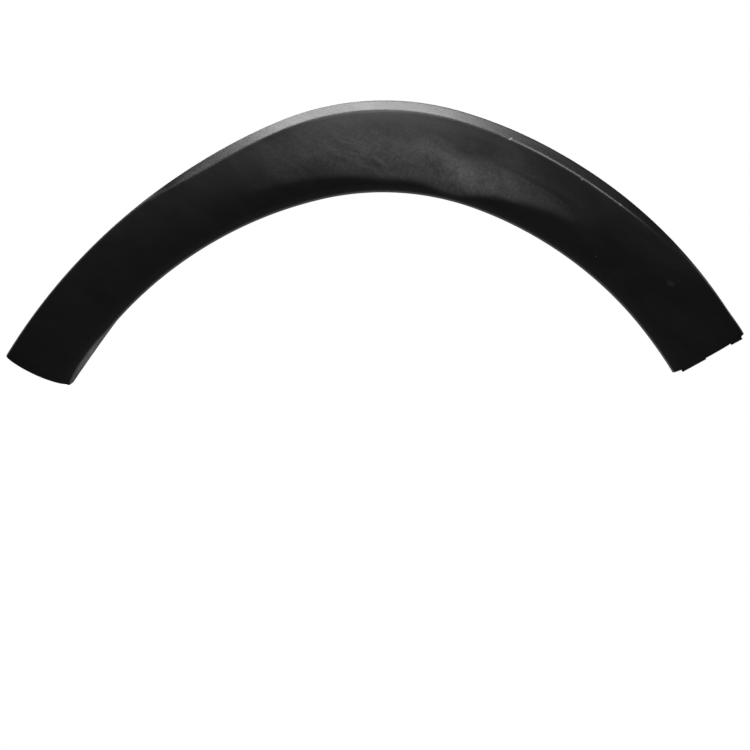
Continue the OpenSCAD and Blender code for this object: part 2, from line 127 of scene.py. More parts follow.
# How far their edges wander and how often, and their sections to a leg and at least
TAPE_WANDER, TAPE_WAVES, TAPE_STEPS, TAPE_LEAST = 0.25, 40, 260, 8

# Towers and clips
TOWER_W, TOWER_L, TOWER_WALL, TOWER_FRONT = 22, 20, 1.8, 0.9
ROOF_T, ROOF_DROP, ROOF_SINK = 2.2, 4, 0.3
SLOT_MOUTH, NECK_HOLE, SLOT_STEPS = 9.4, 6.7, 16
CLIPS = 8

# Towers as (t, v, twist in degrees, share of the fan's reach, end of the arm in tower sizes)
TOWERS = [(0.72, 0.31, -2, 1, (1.2, 1.2)),
          (0.51, 0.35, -3, 0.9, (1.1, 0.9)),
          (0.285, 0.35, -5, 1, (0.9, 0.7)),
          (0.2, 0.77, -8, 0.8, None),
          (-0.039, 0.27, -1, 0, None),
          (-0.175, 0.75, -3, 0, None),
          (-0.35, 0.28, 14, 0, None),
          (-0.47, 0.71, 8, 0, None),
          (-0.65, 0.32, 6, 0, None),
          (-0.866, 0.6, 0, 0, None)]
CROWN_TOWER = 4

# Ribs as the places that they run through
RIBS = [[(0.706, 0.46), (0.683, 1)], [(0.718, 0.46), (0.709, 1)],
        [(0.734, 0.46), (0.771, 0.89), (0.776, 1)], [(0.79, 0.9), (0.77, 0.888)],
        [(0.674, 0.5), (0.652, 0.92), (0.655, 1)], [(0.484, 0.4), (0.473, 0.9), (0.47, 1)],
        [(0.499, 0.46), (0.489, 0.8), (0.49, 1)], [(0.489, 0.82), (0.475, 0.82)],
        [(0.262, 0.4), (0.252, 1)], [(0.277, 0.5), (0.271, 1)],
        [(0.255, 0.81), (0.273, 0.81)], [(0.254, 0.88), (0.272, 0.88)],
        [(0.2545, 0.69), (0.222, 0.73)], [(0.252, 0.886), (0.222, 0.84)],
        [(0.17, 0.86), (0.166, 1)],
        [(0.014, 0.12), (-0.014, 0.2)], [(-0.0565, 0.35), (-0.0565, 0.56), (-0.15, 0.69)],
        [(-0.031, 0.74), (-0.031, 1)], [(-0.054, 0.74), (-0.054, 1)],
        [(-0.031, 0.79), (-0.054, 0.79)], [(-0.031, 0.88), (-0.054, 0.88)],
        [(-0.086, 1), (-0.145, 0.8)], [(-0.372, 0.22), (-0.407, 0.14)],
        [(-0.483, 0.62), (-0.493, 0.52)], [(-0.499, 0.66), (-0.512, 0.6)],
        [(-0.626, 0.38), (-0.613, 0.74), (-0.615, 1)],
        [(-0.611, 0.735), (-0.636, 0.78), (-0.629, 1)],
        [(-0.826, 0.8), (-0.826, 1)], [(-0.846, 0.82), (-0.846, 1)],
        [(0.933, 0.13), (0.913, 1)], [(0.948, 0.48), (0.936, 1)], [(0.966, 0.13), (0.95, 1)],
        [(0.99, 0.13), (0.977, 1)], [(0.957, 0.6), (0.982, 0.6)], [(0.955, 0.72), (0.98, 0.72)],
        [(0.953, 0.84), (0.979, 0.84)], [(-0.932, 1), (-0.943, 0.4)],
        [(-0.949, 1), (-0.968, 0.17)], [(-0.917, 0.62), (-0.917, 0.43)]]
LOW_RIBS = [[(0.753, 0.44), (0.864, 1)], [(0.314, 0.52), (0.373, 1)],
            [(-0.0425, 0.5), (-0.0425, 0.74)]]

# Runs of the tapes, and of the bridges that carry them, in t
LIGHT_TAPE = (0.468, 0.985)
DARK_TAPES = [(0.018, 0.267), (-0.185, -0.065), (-0.312, -0.201), (-0.462, -0.416),
              (-0.621, -0.477), (-0.885, -0.665)]
LIGHT_TAPE_IN, LIGHT_TAPE_W, DARK_TAPE_W = 3.4, 7, 5.4
OPEN_STRETCH, BRIDGED = (0.305, 0.46), (-0.94, 0.96)
OPEN_PITCH, BRIDGE_PITCH = 9, 50


# Band geometry

def smooth(lo, hi, x):
    """0 up to lo, 1 from hi, and a soft rise between them."""
    s = min(1, max(0, (x - lo) / (hi - lo)))
    return s * s * (3 - 2 * s)


def evenly(a, b, n):
    """Values from a to b in n equal steps."""
    return [a + (b - a) * i / n for i in range(n + 1)]


def leg(edge, side):
    return edge["left"] if side < 0 else edge["right"]


def run_of(edge, side):
    """Length of an edge from the crown to one end."""
    arc, leg_r, leg_arc = leg(edge, side)
    return edge["crown_r"] * radians(arc) + leg_r * radians(leg_arc)


def edge_at(edge, t):
    """Point on an edge made of a crown arc and a leg arc that runs on from it."""
    side = -1 if t < 0 else 1
    arc, leg_r, _ = leg(edge, side)
    arc, r, (x, y) = radians(arc), edge["crown_r"], edge["top"]
    run = abs(t) * run_of(edge, side)
    turned = min(run / r, arc)
    end = turned + max(0, run - r * arc) / leg_r
    return Vector((x + side * (r * sin(turned) + leg_r * (sin(end) - sin(turned))),
                   y - r * (1 - cos(turned)) - leg_r * (cos(turned) - cos(end))))


def outer_at(t):
    return edge_at(OUTER, t)


def inner_at(t):
    return edge_at(INNER, t)


def band_at(t, v):
    return outer_at(t).lerp(inner_at(t), v)


def band_w(t):
    return (inner_at(t) - outer_at(t)).length


def across(t):
    return (inner_at(t) - outer_at(t)).normalized()


def along(t):
    a = across(t)
    return Vector((-a[1], a[0]))


def turn_at(t):
    a = across(t)
    return atan2(a[0], -a[1])


ORIGIN = band_at(*TOWERS[CROWN_TOWER][:2])
HALF_SPAN = (outer_at(1)[0] - outer_at(-1)[0]) / 2
LEG_LEN = run_of(OUTER, 1)


def lift(p):
    """Depth of the bowed body panel behind a point of the plan."""
    return -BOW_DEPTH * ((p[0] - ORIGIN[0]) / HALF_SPAN) ** 2


def faded(t):
    return smooth(*FADE[-1 if t < 0 else 1], abs(t))


def chamfer_at(t):
    return CHAMFER_W + (CHAMFER_END_W - CHAMFER_W) * faded(t)


def crease_at(t):
    return CREASE_DEPTH + (CREASE_END_DEPTH - CREASE_DEPTH) * faded(t)


def flare_at(t):
    """How much more the flange of the left leg leans where it flares."""
    return HOOK_FLARE * max(0, 1 - ((t - LIP_MIDDLE) / FLARE_SPAN) ** 2)


def lip_at(t):
    """How far the flared lip of the left leg swings out past the inner edge."""
    return LIP_OUT * max(0, 1 - ((t - LIP_MIDDLE) / LIP_SPAN) ** 2)


def face_at(t, a):
    """Depth of the face at distance a from the outer edge."""
    peak = FACE_PEAK * band_w(t)
    return FACE_DEPTH - (FACE_DEPTH - crease_at(t)) * ((peak - a) / (peak - chamfer_at(t))) ** 2


def rounded(a, corner, b, steps):
    """Points of a curve from a towards b that rounds the corner."""
    return [a.lerp(corner, s).lerp(corner.lerp(b, s), s) for s in steps]


def show_line(t, steps=FINE):
    """Show side of the section from the rim to the lip, as (distance from outer edge, depth)."""
    face_steps, roll_steps = steps
    w = band_w(t)
    rim = Vector((0, RIM_H))
    crease = Vector((chamfer_at(t), crease_at(t)))
    length = (crease - rim).length
    cut = min(RIM_ROUND, RIM_ROUND_SHARE * length)
    bend = min(CREASE_ROUND, CREASE_ROUND_SHARE * length)
    low, high = rim - Vector((0, cut)), rim + (crease - rim).normalized() * cut
    start = crease + (rim - crease) * (bend / length)
    end = Vector((crease[0] + bend, face_at(t, crease[0] + bend)))
    line = [Vector((FOOT_IN, LIP_GAP)), Vector((0, LIP_GAP + FOOT_UP))]
    line += rounded(low, rim, high, CORNER_STEPS)
    line += [high.lerp(start, s) for s in CHAMFER_STEPS]
    line += rounded(start, crease, end, CREASE_STEPS)
    roll = w - flare_at(t) - FLANGE_DRAFT - EDGE_ROLL
    top = face_at(t, roll)
    line += [Vector((a, face_at(t, a))) for a in evenly(end[0], roll, face_steps)[:-1]]
    line += [Vector((roll + EDGE_ROLL * sin(q), top - EDGE_ROLL * (1 - cos(q))))
             for q in evenly(0, pi / 2, roll_steps)]
    foot, last = Vector((w + lip_at(t), LIP_GAP)), line[-1]
    line += [last.lerp(foot, s) for s in FLANGE_STEPS]
    line += [foot + Vector((0, FOOT_UP)), foot - Vector((FOOT_IN, 0))]
    return line


def inset_line(line, d):
    """The same line moved inward by d. Its ends stay on the rim plane."""
    def normal(i):
        step = line[i + 1] - line[i]
        step = step.normalized() if step.length > TINY else Vector((0, 1))
        return Vector((step[1], -step[0]))

    out, last = [], len(line) - 1
    for i, p in enumerate(line):
        n1, n2 = normal(max(i, 1) - 1), normal(min(i, last - 1))
        out.append(p + (n1 + n2) / max(1 + n1.dot(n2), MITRE) * d)
    for i, q in enumerate(out):
        if i < len(out) / 2:
            q[0] = max(q[0], d)
        q[1] = max(q[1], LIP_GAP)
    # behind the rounded rim the line keeps rising, so that it doesn't fold
    rim_side = out[2:len(out) // 3]
    for p, q in zip(rim_side, rim_side[1:]):
        q[0], q[1] = max(q[0], p[0]), max(q[1], p[1] + LEAST_RISE)
    out[0], out[1] = Vector((d - FOOT_IN, LIP_GAP)), Vector((d, LIP_GAP + FOOT_UP))
    flange = line[-3] - line[-4]
    slope = flange[0] / flange[1] if abs(flange[1]) > TINY else 0
    inner = Vector((line[-2][0] - d * sqrt(1 + slope * slope), LIP_GAP + FOOT_UP))
    out[-2], out[-1] = inner, inner + Vector((FOOT_IN, -FOOT_UP))
    return out


def fullness(side, v):
    """Outline of an end, from 0 at both corners to 1 at its fullest point."""
    return sin(pi * v ** (LEFT_LEAN if side < 0 else 1)) ** BULGE_POWER if 0 < v < 1 else 0


def slid(t, v):
    """Where a place of the last stretch comes to lie when the end bulges out along the band."""
    side = -1 if t < 0 else 1
    run = run_of(OUTER, side) * (1 - v) + run_of(INNER, side) * v
    return t + side * BULGE[side] * fullness(side, v) / run * smooth(BULGE_FROM, 1, abs(t))


def section_row(t, section):
    """Points of a section at t in the row frame, on the bulging outline at the ends."""
    points = section(t)
    if abs(t) <= BULGE_FROM:
        return [in_space(t, s) for s in points]
    row = []
    for k, s in enumerate(points):
        moved = slid(t, s[0] / band_w(t))
        row.append(in_space(moved, section(moved)[k]))
    return row


def swelled(t, a):
    """Distance from the outer edge after the band has swelled a little over the crown."""
    out = SWELL_OUT * (1 - smooth(*OUT_FADE, abs(t))) + SWELL_TIP * smooth(*TIP_SPAN, t)
    inward = SWELL_IN * (1 - IN_LOSS * smooth(*IN_FADE, abs(t))) * (1 - smooth(*IN_END, abs(t)))
    share = a / band_w(t)
    return a - out * (1 - share) + inward * share


def in_space(t, s):
    """Row-frame position in metres of (distance from the outer edge, depth) at t."""
    p = outer_at(t) + across(t) * swelled(t, s[0])
    return world(p, s[1] + lift(p))


def world(p, depth):
    """Row-frame position in metres of a plan point at a depth."""
    return Vector(((p[0] - ORIGIN[0]) * MM, -depth * MM, (p[1] - ORIGIN[1]) * MM))


def place_of(p, span=1.06, halvings=34):
    """(t, distance from the outer edge) of a point of the plan."""
    lo, hi = -span, span
    for _ in range(halvings):
        mid = (lo + hi) / 2
        if (p - outer_at(mid)).dot(along(mid)) > 0:
            lo = mid
        else:
            hi = mid
    t = (lo + hi) / 2
    return t, (p - outer_at(t)).dot(across(t))


def middle(t):
    """Middle line of the shell's wall, up to the end of the roll, and its flange."""
    mid = inset_line(show_line(t, COARSE), WALL / 2)
    return mid[2:-FLANGE_POINTS], mid[-FLANGE_POINTS:]


def wall_depth(pts, a):
    """Depth of the wall's middle line pts at distance a."""
    if a <= pts[0][0]:
        return pts[0][1]
    for p, q in zip(pts, pts[1:]):
        if q[0] > p[0] and p[0] <= a <= q[0]:
            return p[1] + (q[1] - p[1]) * (a - p[0]) / (q[0] - p[0])
    return pts[-1][1]


def flange_at(pts, depth):
    """Distance of the flange's middle line pts from the outer edge at a depth."""
    for p, q in zip(pts, pts[1:]):
        if q[1] <= depth <= p[1] and p[1] > q[1]:
            return p[0] + (q[0] - p[0]) * (p[1] - depth) / (p[1] - q[1])
    return pts[0][0]


# Mesh helpers

def new_object(name, bm, material, smooth_angle=30):
    """Object with the mesh of bm, smooth over edges that bend less than an angle in degrees."""
    mesh = bpy.data.meshes.new(name)
    bmesh.ops.recalc_face_normals(bm, faces=bm.faces)
    bm.to_mesh(mesh)
    bm.free()
    for p in mesh.polygons:
        p.use_smooth = True
    obj = bpy.data.objects.new(name, mesh)
    bpy.context.collection.objects.link(obj)
    mesh.set_sharp_from_angle(angle=radians(smooth_angle))
    mesh.materials.append(material)
    return obj


def new_attribute(obj, name):
    """Number for each vertex that the materials read by its name."""
    return obj.data.attributes.new(name, "FLOAT", "POINT").data


def grid(bm, rows, closed=False):
    """Quads over rows of equally many points, which are rings when closed."""
    verts = [[bm.verts.new(p) for p in row] for row in rows]
    n = len(verts[0])
    for a, b in zip(verts, verts[1:]):
        for k in range(n if closed else n - 1):
            bm.faces.new((a[k], b[k], b[(k + 1) % n], a[(k + 1) % n]))
    return verts


def capped_grid(bm, rings):
    """Quads over rings of points, with a face over the first and the last ring."""
    verts = grid(bm, rings, closed=True)
    bm.faces.new(verts[0])
    bm.faces.new(list(reversed(verts[-1])))


def slab(bm, path, ceiling, thick=RIB_T, bevel=RIB_BEVEL, fixed=None):
    """Upright wall over a path of plan points, from the shell up to a ceiling that follows the
    body panel, or up to a fixed depth."""
    pts = []
    for a, b in zip(path, path[1:]):
        n = max(1, ceil((b - a).length / RIB_STEP))
        pts += [a.lerp(b, i / n) for i in range(n)]
    pts.append(path[-1])
    rows, last = [], len(pts) - 1
    for i, p in enumerate(pts):
        ahead = (pts[min(i + 1, last)] - pts[max(i - 1, 0)]).normalized()
        side = Vector((-ahead[1], ahead[0])) * (thick / 2)
        if i == 0:
            p = p - ahead * (thick / 2)
        if i == last:
            p = p + ahead * (thick / 2)
        taper = RIB_TAPER if i in (0, last) else 1
        t, a = place_of(p)
        out, base = across(t), lift(p)
        wall, flange = middle(t)
        top = ceiling if fixed is None else fixed - base
        a_top = a_foot = max(a, WALL / 2)
        if a > NEAR_FLANGE:
            a_top = min(a_top, flange_at(wall[-1:] + flange, top))
        a_foot = min(a_foot, wall[-1][0])
        foot = max(wall_depth(wall, a_foot), top + RIB_LEAST)
        hi, lo = p + out * (a_top - a), p + out * (a_foot - a)
        flat = (thick / 2 - bevel) / (thick / 2) * taper
        rows.append([world(lo - side, foot + base), world(hi - side * taper, top + bevel + base),
                     world(hi - side * flat, top + base), world(hi + side * flat, top + base),
                     world(hi + side * taper, top + bevel + base), world(lo + side, foot + base)])
    capped_grid(bm, rows)


# Materials

class Nodes:
    """Short ways to build a node tree. A value is a constant or the output of another node."""

    def __init__(self, tree):
        self.tree = tree

    def put(self, node, values):
        """Set sockets and properties of a node by their names, or sockets by their places."""
        for key, value in values.items():
            if isinstance(value, bpy.types.NodeSocket):
                self.tree.links.new(value, node.inputs[key])
            elif isinstance(key, int) or key in node.inputs:
                node.inputs[key].default_value = value
            else:
                setattr(node, key, value)

    def add(self, kind, **values):
        node = self.tree.nodes.new("ShaderNode" + kind)
        self.put(node, values)
        return node

    def math(self, operation, a, b):
        node = self.add("Math", operation=operation)
        self.put(node, {0: a, 1: b})
        return node.outputs[0]

    def length(self, vector):
        node = self.add("VectorMath", operation="LENGTH")
        self.put(node, {0: vector})
        return node.outputs["Value"]

    def ranged(self, value, source, target=(0, 1), **values):
        """The value, taken from the source range to the target range."""
        node = self.add("MapRange", **values)
        self.put(node, {"Value": value, "From Min": source[0], "From Max": source[1],
                        "To Min": target[0], "To Max": target[1]})
        return node.outputs["Result"]

    def blend(self, share, a, b, **values):
        """Colour between a and b."""
        node = self.add("Mix", data_type="RGBA", **values)
        self.put(node, {"Factor": share, "A": a, "B": b})
        return node.outputs["Result"]

    def noise(self, where, **values):
        return self.add("TexNoise", Vector=where, **values).outputs["Fac"]

    def cells(self, where, scale):
        texture = self.add("TexVoronoi", feature="F1", Vector=where, Scale=scale)
        return texture.outputs["Distance"]

    def bump(self, height, strength, distance, **values):
        node = self.add("Bump", Strength=strength, Distance=distance, Height=height, **values)
        return node.outputs["Normal"]


def new_material(name):
    """Material with its shader, its nodes and the place on the object."""
    mat = bpy.data.materials.new(name)
    mat.use_nodes = True
    nodes = Nodes(mat.node_tree)
    here = nodes.add("TexCoord").outputs["Object"]
    return mat, mat.node_tree.nodes["Principled BSDF"], nodes, here


WHITE = (1, 1, 1, 1)
# The second grey is the film's; it also paints the sheen, the crease highlight and light on shaded
# faces
PLASTIC_BLACK, FILM_AND_PAINTED_LIGHT_GREY = (0.0042, 0.0042, 0.0044, 1), (0.066, 0.066, 0.066, 1)
DUST_GREY = (0.2, 0.2, 0.195, 1)
NYLON_CLEAN, NYLON_DIRTY = (0.6, 0.59, 0.56, 1), (0.3, 0.29, 0.27, 1)
LIGHT_FOAM_CLEAN, LIGHT_FOAM_DIRTY = (0.3, 0.3, 0.29, 1), (0.16, 0.16, 0.155, 1)
DARK_FOAM_CLEAN, DARK_FOAM_DIRTY = (0.035, 0.035, 0.036, 1), (0.016, 0.016, 0.016, 1)

# Middle of a noise texture's values
NOISE_MIDDLE = (0.3, 0.7)

# Marks on the show face as (x, z, half length, half width, turn in degrees, strength), how deep
# their middles lie, and where their soft edges begin and end
MARKS = [(17, -43, 15, 3.6, -35, 0.35), (98, -22, 30, 6, -35, 0.16), (112, -56, 20, 3, -34, 0.3),
         (140, -74, 24, 5, -8, 0.2), (176, -15.5, 3.8, 0.65, 33, 6), (263, -65, 1.6, 1.4, 0, 2.4),
         (310, -95.5, 2.4, 1.6, -40, 1.6), (280, -159, 1, 1, 0, 1.6),
         (76, -83.5, 2.6, 0.6, 28, 1.5), (371, -192, 7, 4.5, -30, 0.2),
         (381, -187.5, 3, 2, 0, 0.1), (363, -200, 4.5, 2, -30, 0.07),
         (-4, -79.5, 2.4, 0.6, 8, 0.8), (180, -118, 5, 1, -28, 0.5)]
MARK_DEPTH, MARK_EDGE = 20, (0.25, 1.1)

# Turn in degrees and stretch of the clouds in the film
WISP_TURN, WISP_STRETCH = 30, (2.2, 1, 0.8)


def marks_at(nodes, here):
    """Sum of the marks as soft ellipses in the plane of the face."""
    total = 0
    for x, z, half_l, half_w, turn, strength in MARKS:
        from_mark = nodes.add("Mapping", vector_type="TEXTURE", Vector=here,
                              Location=(x * MM, -MARK_DEPTH * MM, z * MM),
                              Rotation=(0, radians(-turn), 0),
                              Scale=(half_l * MM, 1, half_w * MM)).outputs[0]
        mark = nodes.ranged(nodes.length(from_mark), MARK_EDGE, (strength, 0),
                            interpolation_type="SMOOTHSTEP")
        total = nodes.math("ADD", total, mark)
    return total


def black_plastic():
    """Grained black polypropylene with a cloudy film of wax, fine dust and small scratches; the
    film's grey also paints sheen, a highlight on the crease and light on shaded faces.
    """
    mat, bsdf, nodes, here = new_material("black_grained_plastic")
    painted_light_and_haze, dusty, front = [nodes.add("Attribute", attribute_name=name).outputs["Fac"]
                          for name in ("painted_light_and_haze", "dust", "front")]
    wisps = nodes.add("Mapping", vector_type="TEXTURE", Vector=here,
                      Rotation=(0, radians(WISP_TURN), 0), Scale=WISP_STRETCH).outputs[0]
    cloud = nodes.noise(wisps, Scale=26, Detail=6, Roughness=0.62, Distortion=0.8)
    mottle = nodes.noise(here, Scale=330, Detail=3, Roughness=0.6)
    dust = nodes.noise(here, Scale=60, Detail=6, Roughness=0.7)

    # the film carries painted sheen, painted highlight and painted light as well as the wax film
    film_and_painted_light = nodes.math("MULTIPLY", painted_light_and_haze, nodes.ranged(cloud, NOISE_MIDDLE, (0.55, 1.45)))
    film_and_painted_light = nodes.math("MULTIPLY", film_and_painted_light, nodes.ranged(mottle, NOISE_MIDDLE, (0.68, 1.32)))
    marks = nodes.math("MULTIPLY", marks_at(nodes, here), front)
    film_and_painted_light = nodes.math("ADD", film_and_painted_light, marks)
    powder = nodes.math("MULTIPLY", nodes.ranged(dust, (0.38, 0.72)), dusty)
    film_and_light_colour = nodes.blend(film_and_painted_light, PLASTIC_BLACK, FILM_AND_PAINTED_LIGHT_GREY, clamp_factor=False)
    rough = nodes.math("ADD", nodes.ranged(cloud, NOISE_MIDDLE, (0.31, 0.39)),
                       nodes.math("MULTIPLY", powder, 0.35))

    waves = nodes.bump(nodes.noise(here, Scale=22, Detail=2, Roughness=0.5), 0.1, 0.0006)
    grain = nodes.bump(nodes.cells(here, 1400), 0.22, 0.00006, Normal=waves)
    fine = nodes.bump(nodes.noise(here, Scale=2600, Detail=3, Roughness=0.6), 0.2, 0.00004,
                      Normal=grain)
    nodes.put(bsdf, {"Base Color": nodes.blend(powder, film_and_light_colour, DUST_GREY), "Roughness": rough,
                     "Specular IOR Level": 0.5, "Normal": fine})
    return mat


def nylon():
    """Natural nylon: milky, a little translucent, slightly dirty in places."""
    mat, bsdf, nodes, here = new_material("natural_nylon")
    cloud = nodes.noise(here, Scale=220, Detail=4, Roughness=0.7)
    fine = nodes.noise(here, Scale=900, Detail=3, Roughness=0.6)
    nodes.put(bsdf, {"Base Color": nodes.blend(cloud, NYLON_CLEAN, NYLON_DIRTY),
                     "Roughness": 0.42, "Subsurface Weight": 0.12, "Subsurface Radius": (1, 1, 1),
                     "Subsurface Scale": 0.002, "Normal": nodes.bump(fine, 0.15, 0.00005)})
    return mat


def foam(name, clean, dirty):
    """Closed-cell foam tape: matte, pitted, with dirt in places."""
    mat, bsdf, nodes, here = new_material(name)
    cloud = nodes.ranged(nodes.noise(here, Scale=45, Detail=6, Roughness=0.7), (0.35, 0.7))
    nodes.put(bsdf, {"Base Color": nodes.blend(cloud, clean, dirty), "Roughness": 0.9,
                     "Normal": nodes.bump(nodes.cells(here, 1500), 0.5, 0.0001)})
    return mat


PLASTIC = black_plastic()
NYLON = nylon()
LIGHT_FOAM = foam("light_foam_tape", LIGHT_FOAM_CLEAN, LIGHT_FOAM_DIRTY)
DARK_FOAM = foam("dark_foam_tape", DARK_FOAM_CLEAN, DARK_FOAM_DIRTY)


# The moulding

# Painted sheen and cloudy film over the crown: where it comes and goes in t, and how much and
# where it gains strength
SHEEN_AND_HAZE_IN, SHEEN_AND_HAZE_OUT, SHEEN_AND_HAZE_GAIN, GAIN_SPAN = (-0.36, 0.1), (0.2, 0.62), 0.2, (0.08, 0.24)
# Its middle in v, how steeply that sinks on the right, from where and up to where, and how far
# the film spreads above and below it
SHEEN_AND_HAZE_MIDDLE, SINK, SINK_FROM, SINK_END, SHEEN_AND_HAZE_SPREAD = 0.62, 0.75, 0.12, (0.24, 0.34), (0.24, 0.31)
# Its lower border in v, with its slope on the left, its sag as (depth, place, half width), its
# slope on the right as (slope, from where), and its softness
BORDER, BORDER_LEFT, BORDER_SAG, BORDER_RIGHT = 0.81, 0.6, (0.08, 0.18, 0.06), (0.9, 0.24)
BORDER_SOFT = 0.09
# Thin painted sheen and film all over the middle: where it comes and goes in t, and comes in v
THIN_SHEEN_AND_FILM, THIN_IN, THIN_OUT, THIN_TOP = 0.2, (-0.4, -0.2), (0.2, 0.45), (0.12, 0.2)

# Painted light on the lit flared lip of the left leg, where it comes in -t and in distance
# from the flange
FLARE_PAINTED_LIGHT, FLARE_IN, FLARE_EDGE = 7, (0.78, 0.86), (-1.5, 0)
# Painted highlight line on the crease: grey at points of the section, and where it comes and goes
# in t
CREASE_HIGHLIGHT, CREASE_HIGHLIGHT_IN, CREASE_HIGHLIGHT_OUT = {12: 1.1, 13: 2.6, 14: 0.9}, (0.26, 0.36), (0.52, 0.7)

# Dust inside the shell: everywhere, and along the inner edge over the crown
DUST, EDGE_DUST, EDGE_DUST_V, EDGE_DUST_OUT = 0.05, 1.5, (0.88, 0.93), (0.25, 0.6)
# Dusty places inside the shell as (t, v, half width in t, half width in v, strength)
PATCHES = [(0.6, 0.5, 0.08, 0.4, 0.7), (0.765, 0.75, 0.04, 0.3, 1.1), (0.72, 0.4, 0.04, 0.25, 1),
           (0.95, 0.35, 0.03, 0.35, 1), (0.975, 0.7, 0.03, 0.25, 1.2), (0.3, 0.88, 0.04, 0.16, 1.3),
           (0.38, 0.2, 0.07, 0.2, 0.7), (0.1, 0.65, 0.1, 0.3, 0.4), (-0.2, 0.9, 0.08, 0.1, 1.2),
           (-0.3, 0.8, 0.1, 0.2, 0.8), (-0.55, 0.6, 0.06, 0.35, 0.7), (-0.62, 0.4, 0.04, 0.25, 0.9),
           (-0.85, 0.85, 0.12, 0.16, 0.9), (-0.93, 0.6, 0.04, 0.4, 0.8)]
# How squarely a face looks at the body panel when dust starts to lie on it, and when it is full
DUST_FACING = (0.2, 0.8)


def painted_sheen_and_haze_at(t, v):
    """Painted sheen and cloudy film on the show face, over the crown, thinning out to the right
    leg.
    """
    amount = smooth(*SHEEN_AND_HAZE_IN, t) * (1 - smooth(*SHEEN_AND_HAZE_OUT, t))
    amount *= 1 + SHEEN_AND_HAZE_GAIN * smooth(*GAIN_SPAN, t)
    sink = SINK * max(0, t - SINK_FROM) * (1 - smooth(*SINK_END, t))
    middle_v = SHEEN_AND_HAZE_MIDDLE + min(0, t) + sink
    spread = SHEEN_AND_HAZE_SPREAD[0] if v < middle_v else SHEEN_AND_HAZE_SPREAD[1]
    thin = THIN_SHEEN_AND_FILM * smooth(*THIN_IN, t) * (1 - smooth(*THIN_OUT, t)) * smooth(*THIN_TOP, v)
    film_and_painted_light = thin + amount * exp(-((v - middle_v) / spread) ** 2)
    sag, sag_at, sag_half = BORDER_SAG
    slope, slope_from = BORDER_RIGHT
    border = (BORDER + BORDER_LEFT * min(0, t) + sag * exp(-((t - sag_at) / sag_half) ** 2)
              - slope * max(0, t - slope_from))
    return film_and_painted_light * (1 - smooth(border, border + BORDER_SOFT, v))


def dust_at(t, v):
    """Dust inside the shell, along the inner edge over the crown and in patches."""
    amount = DUST + EDGE_DUST * smooth(*EDGE_DUST_V, v) * (1 - smooth(*EDGE_DUST_OUT, abs(t)))
    for patch_t, patch_v, half_t, half_v, strength in PATCHES:
        amount += strength * max(0, 1 - ((t - patch_t) / half_t) ** 2
                                 - ((v - patch_v) / half_v) ** 2)
    return amount


def front_film_and_painted_light(t, k, a):
    """Film, painted sheen, painted highlight and painted light on the show side at t, at point k
    of the section and distance a from the outer edge.
    """
    # painted light on the flared lip of the left leg, where it is lit
    lip = smooth(*FLARE_IN, -t) * smooth(*FLARE_EDGE, a - band_w(t) + flare_at(t))
    # painted highlight along the crease
    crease_highlight = CREASE_HIGHLIGHT.get(k, 0) * smooth(*CREASE_HIGHLIGHT_IN, t) * (1 - smooth(*CREASE_HIGHLIGHT_OUT, t))
    return painted_sheen_and_haze_at(t, a / band_w(t)) + FLARE_PAINTED_LIGHT * lip + crease_highlight


def stations():
    """Values of t for the shell, denser at both ends."""
    inner = evenly(-SHELL_SPAN, SHELL_SPAN, SHELL_STEPS)
    return [-1, -END_STATION] + inner + [END_STATION, 1]


def shell_section(inset):
    """Closed section line of the shell, from which inset is taken off all round at an end."""
    def section(t):
        line = show_line(t)
        outside = inset_line(line, inset) if inset else line
        return outside + list(reversed(inset_line(line, WALL - inset)))
    return section


def make_shell():
    """Shell of the moulding, with film, painted sheen, a painted highlight and painted light on the
    show side, and dust inside.
    """
    bm = bmesh.new()
    verts = grid(bm, [section_row(t, shell_section(END_ROUND if abs(t) == 1 else 0))
                      for t in stations()], closed=True)
    n = len(verts[0])
    for ring in (verts[0], verts[-1]):
        for k in range(n // 2 - 1):
            bm.faces.new((ring[k], ring[k + 1], ring[n - 2 - k], ring[n - 1 - k]))
    shell = new_object("trim_shell", bm, PLASTIC, smooth_angle=50)
    painted_light_and_haze, front, dust = [new_attribute(shell, name) for name in ("painted_light_and_haze", "front", "dust")]
    for i, t in enumerate(stations()):
        for k, s in enumerate(shell_section(0)(t)):
            if k < n // 2:
                front[i * n + k].value = 1
                # film with painted sheen, painted highlight and painted light on the show side
                painted_light_and_haze[i * n + k].value = front_film_and_painted_light(t, k, s[0])
            else:
                dust[i * n + k].value = dust_at(t, s[0] / band_w(t))
    return shell


def make_end_walls():
    """Walls that close both ends, from the face down to just under the panel."""
    def top_line(t):
        return inset_line(show_line(t, MIDDLING), WALL / 2)[2:-2]

    def foot_line(t):
        return [Vector((p[0], END_WALL_DROP)) for p in top_line(t)]

    bm = bmesh.new()
    for side in (-1, 1):
        outside, inside = side * (1 - END_WALL_SET / LEG_LEN), side * (1 - WALL / LEG_LEN)
        rings = zip(section_row(outside, top_line), section_row(outside, foot_line),
                    section_row(inside, foot_line), section_row(inside, top_line))
        capped_grid(bm, [list(ring) for ring in rings])
    return new_object("trim_end_walls", bm, PLASTIC)


def tower_frame(t, v, twist):
    """Middle of a tower, and the plan point of its own (x, y)."""
    p, turn = band_at(t, v), turn_at(t) + radians(twist)

    def at(x, y):
        return p + Vector((x * cos(turn) - y * sin(turn), x * sin(turn) + y * cos(turn)))

    return p, at


